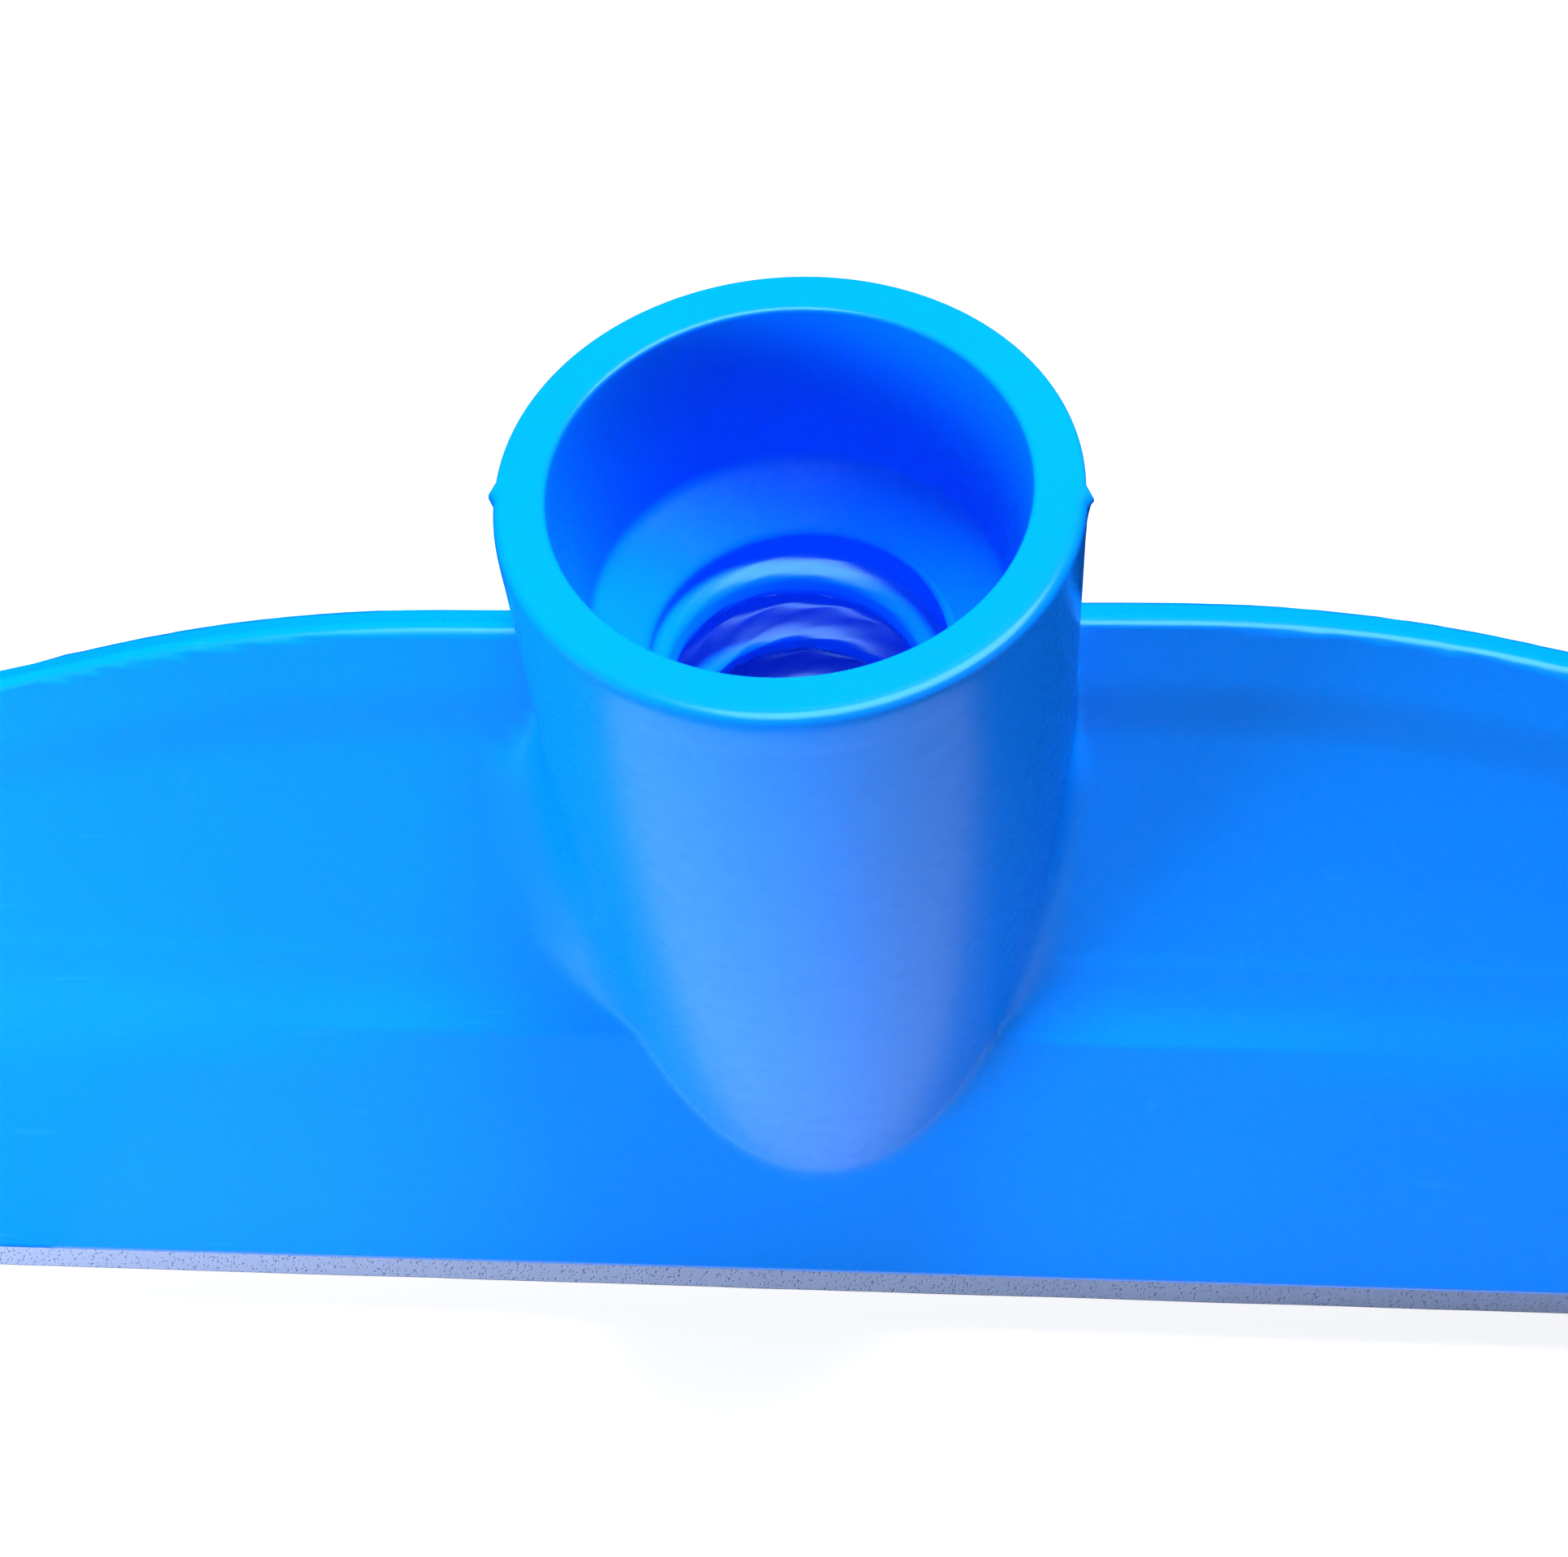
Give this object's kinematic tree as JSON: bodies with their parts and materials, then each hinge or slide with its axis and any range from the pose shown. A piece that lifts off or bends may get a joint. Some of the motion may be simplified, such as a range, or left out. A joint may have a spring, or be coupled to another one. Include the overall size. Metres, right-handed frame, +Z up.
{
  "type": "floor squeegee head",
  "caption": "Floor squeegee head: arched plate with a slanted, threaded handle socket over a channel that holds a slide-in cassette with two rubber strips.",
  "frame": {"origin": "on the floor, under the middle of the whole head's outline", "axes": "+X along the blades to the open end of the channel, +Y away from the side that the socket leans to, +Z up"},
  "size_m": [0.4, 0.0526, 0.0787],
  "materials": {
    "blue_plastic": "moulded polypropylene, smooth with a soft sheen",
    "rail_plastic": "natural white extruded plastic",
    "foam_rubber": "pale closed-cell foam rubber with cut faces"
  },
  "bodies": {
    "head": {"head_body": "blue_plastic"},
    "cassette": {"cassette_rail": "rail_plastic", "front_blade": "foam_rubber", "rear_blade": "foam_rubber", "end_plug_left": "rail_plastic", "end_plug_right": "rail_plastic"}
  },
  "joints": [
    {"name": "cassette_slide", "type": "slide", "parent": "head", "child": "cassette", "axis": [1, 0, 0], "range_m": [0, 0.36]}
  ]
}
